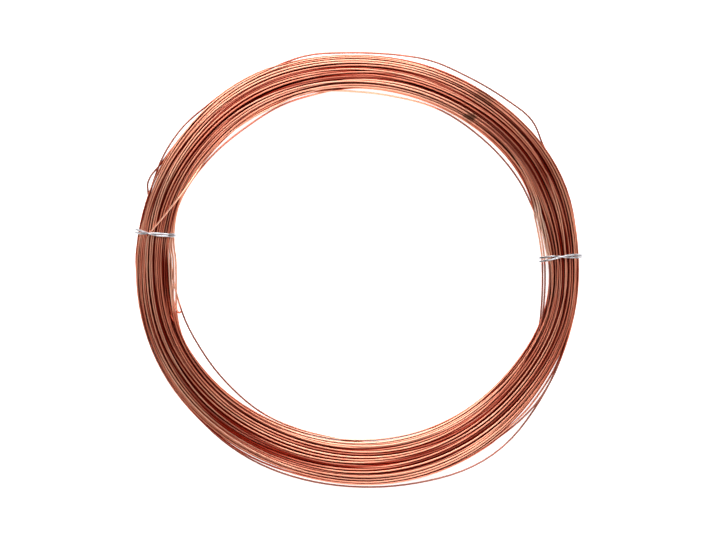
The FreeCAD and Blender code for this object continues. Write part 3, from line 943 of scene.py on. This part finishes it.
def wire_tones(points, travelled, stretches):
    """The wire's tone at each of its points, from the angles that it has travelled there, with painted
    highlight and painted shade in given stretches and patches.
    """
    rng = np.random.default_rng(SEED + 1)
    knots = rng.uniform(0, 1, TURNS * TONE_KNOTS + 1)
    along = np.linspace(0, TURNS * TONE_KNOTS, len(points))
    tones = np.interp(along, np.arange(len(knots)), knots)
    starts = {name: places[0] - LOOSE_STRETCHES[name][0][0] for name, places, _ in stretches}
    for name, first, last, tone in STRETCH_TONES:
        outside = np.maximum(starts[name] + first - travelled, travelled - starts[name] - last)
        tones = tones + (tone - tones) * smooth_step(1 - outside / TONE_EASE)
    turned = np.mod(np.degrees(np.arctan2(points[:, 1], points[:, 0])), 360)
    radii = np.hypot(points[:, 0], points[:, 1])
    # Painted shade on the coil's two sides.
    for first, last, added in PAINTED_SHADE_PATCHES:
        off = np.abs(angle_between(turned, (first + last) / 2)) - (last - first) / 2
        tones = tones + added * smooth_step(1 - off / PAINTED_SHADE_EASE)
    # Painted highlight at the bundle's inner edge.
    for first, last, most_radius, tone in PAINTED_HIGHLIGHT_PATCHES:
        past_ends = np.maximum(first - turned, turned - last) / PAINTED_HIGHLIGHT_EASE
        outside = np.maximum(past_ends, radii - most_radius)
        tones = tones + (tone - tones) * smooth_step(1 - outside)
    return tones


def lengths_along(line):
    """How far along a line each of its points is."""
    return np.append(0, np.cumsum(np.linalg.norm(np.diff(line, axis=0), axis=1)))


def evenly_along(line, count):
    """This many points at even distances along a line."""
    travelled = lengths_along(line)
    at = np.linspace(0, travelled[-1], count)
    return np.stack([np.interp(at, travelled, column) for column in line.T], axis=1)


def drawn_round(section, gap):
    """The line that a cord takes when it is drawn round a section's points, at this gap from them.

    It is closed, starts at its lowest and runs towards the larger radius.
    """
    turned = np.radians(np.arange(-90, 271, TIE_OUTLINE_STEP))
    facing = np.stack([np.cos(turned), np.sin(turned)], axis=1)
    corners = section[(section @ facing.T).argmax(0)] + facing * gap
    return evenly_along(corners, TIE_OUTLINE_POINTS)


def tie_points(tie, wire_points):
    """The middle line of a tie: twice round the bundle, its two strands crossing on top."""
    turn = math.radians(tie["angle"])
    outwards = np.array([math.cos(turn), math.sin(turn), 0.0])
    sideways = np.array([-math.sin(turn), math.cos(turn), 0.0])
    near = np.abs(wire_points @ sideways) < TIE_WIRES_WITHIN
    near &= wire_points @ outwards > 0
    radii, heights = wire_points[near] @ outwards, wire_points[near][:, 2]
    section = np.stack([radii, heights], axis=1)
    ends = np.array([
        [radii.max() + tie["outer_slack"], heights.mean()],
        [radii.min() - tie["inner_slack"], heights.mean()],
    ])
    outline = drawn_round(np.concatenate([section, ends]), WIRE_RADIUS + TIE_RADIUS)
    middle = (outline.min(0) + outline.max(0)) / 2
    half = np.ptp(outline, axis=0) / 2
    lap = np.linspace(0, 2, 2 * len(outline) - 1)  # it starts under the bundle and first runs outwards
    radius, height = np.concatenate([outline, outline[1:]]).T
    across, upward = (np.stack([radius, height]) - middle[:, None]) / half[:, None]

    # Each strand has its lane to the side. On top the two swap lanes, the second over the first.
    outer_share = (1 + across) / 2
    lane = tie["inner_lane"] + (tie["outer_lane"] - tie["inner_lane"]) * outer_share
    share = smooth_step(0.5 + (outer_share - (1 - tie["crossing"])) * CROSSING_STEEPNESS)
    second = lap > 1
    sign = np.where(second, -1.0, 1.0)
    on_top = upward > 0
    swap = sign * (2 * share - 1)
    end_sign = np.where(across > 0, sign, -sign)
    below_sign = np.where(lap < 0.5, 1.0, np.where(lap < 1.5, -1.0, 1.0))
    blend = smooth_step(np.abs(upward) / 0.5)
    side = lane * (np.where(on_top, swap, below_sign) * blend + end_sign * (1 - blend))
    apart = np.abs(2 * swap * lane)
    over = np.sqrt(np.maximum((TIE_GAUGE * OVER_STRAND) ** 2 - apart**2, 0.0))
    height = height + over * (on_top & second)
    lean = math.tan(math.radians(tie["lean"])) * (radius - middle[0])
    lean += tie["bow"] * (1 - across**2) * on_top
    line = outwards * radius[:, None] + sideways * (side + lean)[:, None]
    line[:, 2] = np.maximum(height, TIE_RADIUS + TIE_FLOOR_GAP)
    return evenly_along(line, int(lengths_along(line)[-1] / TIE_POINT_SPACING))


def smoothed_line(points, times):
    """A line whose points are drawn this many times towards their neighbours; its ends stay."""
    for _ in range(times):
        points = points.copy()
        points[1:-1] = (points[:-2] + 2 * points[1:-1] + points[2:]) / 4
    return points


def make_tie(name, tie, wire_points, material):
    """A tie of the visual, in place of the CAD's tie of this name."""
    points = smoothed_line(tie_points(tie, wire_points), TIE_SMOOTHINGS)
    frames = steady_frames(points)
    mesh = tube_mesh(name + "_wire", points, TIE_RADIUS, TIE_SIDES, frames, TIE_MAP_ROWS)
    return add_piece(name + "_wound", mesh, material, name)


copper, galvanised = make_copper(), make_galvanised()
wire_mesh, wire_points = make_wire()
wire = add_piece("copper_wire", wire_mesh, copper, "copper_wire_coil")
for tie_name, tie in TIES.items():
    make_tie(tie_name, tie, wire_points, galvanised)


# ---------------------------------------------------------------- floor, light and camera
FLOOR_SIZE = 6.0
CAMERA_LENS = 85.0
SENSOR_WIDTH = 36.0
VIEW_WIDTH = 0.3092  # of the picture, in metres, at the coil's middle height
COIL_MIDDLE = 0.004
NEAREST_SEEN = 0.01
FLOOR_COLOUR = (0.9, 0.9, 0.9, 1)
FLOOR_ROUGHNESS = 0.9
FLOOR_GLOW = 0.7
WHITE = (1, 1, 1, 1)
WORLD_LIGHT = 0.06
# Name, place and size in metres, and power in watts of each softbox.
SOFTBOXES = (
    ("softbox_back", (-0.17, 0.78, 0.9), (1.3, 0.6), 19.0),
    ("softbox_front", (0.19, -0.88, 0.7), (1.3, 0.6), 7.5),
    ("softbox_above", (0.25, 0.1, 1.1), (0.5, 0.5), 1.8),
)


def make_floor():
    """A plain pale floor, which glows a little so that it stays white round the coil."""
    floor_mesh = bpy.data.meshes.new("floor")
    half = FLOOR_SIZE / 2
    floor_mesh.from_pydata(
        [(-half, -half, 0), (half, -half, 0), (half, half, 0), (-half, half, 0)], [], [(0, 1, 2, 3)]
    )
    floor = bpy.data.objects.new("floor", floor_mesh)
    bpy.context.scene.collection.objects.link(floor)
    material, _, shader = new_material("pale_floor")
    shader.inputs["Base Color"].default_value = FLOOR_COLOUR
    shader.inputs["Roughness"].default_value = FLOOR_ROUGHNESS
    shader.inputs["Emission Color"].default_value = WHITE
    shader.inputs["Emission Strength"].default_value = FLOOR_GLOW
    floor_mesh.materials.append(material)


def make_softbox(name, place, size, power):
    """A rectangular area light that faces the coil."""
    light = bpy.data.lights.new(name, "AREA")
    light.shape = "RECTANGLE"
    light.size, light.size_y = size
    light.energy = power
    lamp = bpy.data.objects.new(name, light)
    lamp.location = place
    direction = -np.array(place)
    lamp.rotation_euler = Vector(direction).to_track_quat("-Z", "Y").to_euler()
    bpy.context.scene.collection.objects.link(lamp)


def make_camera():
    """A camera straight above the coil that looks down."""
    camera = bpy.data.cameras.new("camera")
    camera.lens = CAMERA_LENS
    camera.sensor_width = SENSOR_WIDTH
    camera.clip_start = NEAREST_SEEN
    holder = bpy.data.objects.new("camera", camera)
    distance = VIEW_WIDTH * CAMERA_LENS / SENSOR_WIDTH
    holder.location = (0, 0, COIL_MIDDLE + distance)
    bpy.context.scene.collection.objects.link(holder)
    bpy.context.scene.camera = holder


def make_world():
    """A faint even light from all round."""
    world = bpy.data.worlds.new("studio")
    world.use_nodes = True
    background = world.node_tree.nodes["Background"]
    background.inputs["Color"].default_value = WHITE
    background.inputs["Strength"].default_value = WORLD_LIGHT
    bpy.context.scene.world = world


make_world()
bpy.context.scene.view_settings.view_transform = "Standard"
make_floor()
for softbox in SOFTBOXES:
    make_softbox(*softbox)
make_camera()
